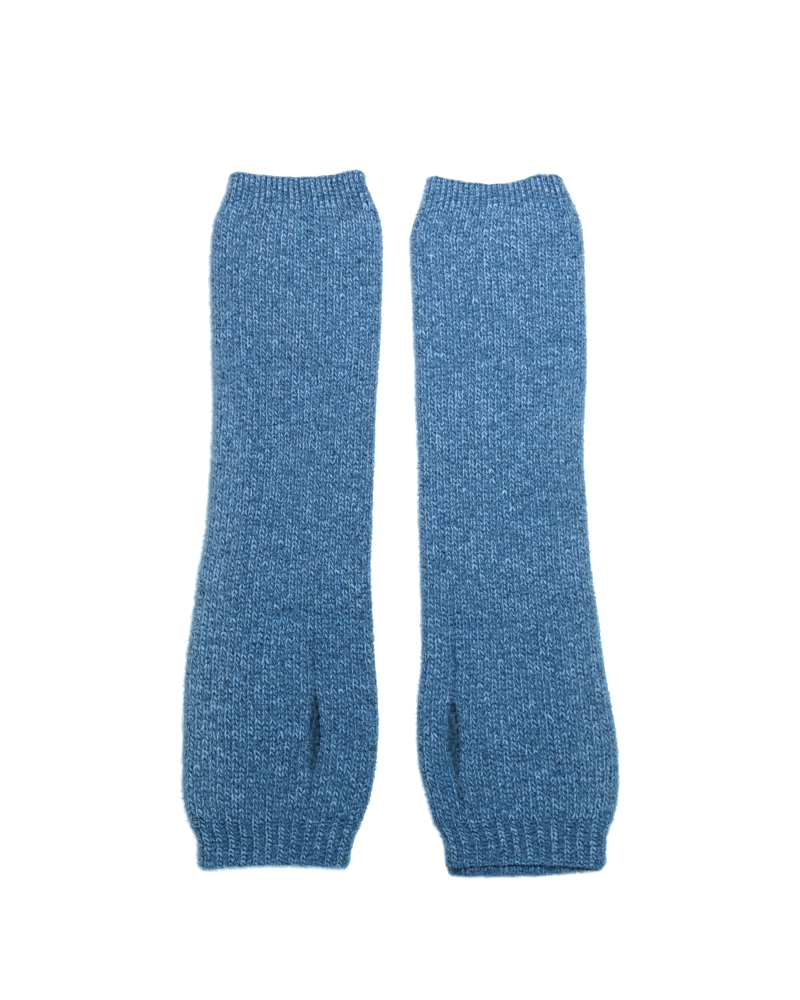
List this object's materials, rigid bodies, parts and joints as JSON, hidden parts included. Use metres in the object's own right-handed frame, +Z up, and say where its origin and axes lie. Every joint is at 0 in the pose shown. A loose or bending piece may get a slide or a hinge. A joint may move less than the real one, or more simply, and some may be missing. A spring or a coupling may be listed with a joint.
{
  "type": "pair of knitted arm warmers",
  "caption": "Pair of blue wool knitted arm warmers laid flat, with ribbed cuffs and a thumb slit in each.",
  "frame": {"origin": "centre of the pair on the surface it lies on", "axes": "+Z up from the surface, +Y from the hand cuffs to the forearm cuffs along the longest side, +X to the right-hand warmer"},
  "size_m": [0.2176, 0.3531, 0.0075],
  "materials": {
    "plain_knit": "fuzzy heathered blue wool, plain knit",
    "rib_knit": "fuzzy heathered blue wool, one by one rib"
  },
  "bodies": {
    "root": {"left_forearm_cuff": "rib_knit", "left_tube": "plain_knit", "left_hand_cuff": "rib_knit", "right_forearm_cuff": "rib_knit", "right_tube": "plain_knit", "right_hand_cuff": "rib_knit"}
  },
  "joints": []
}
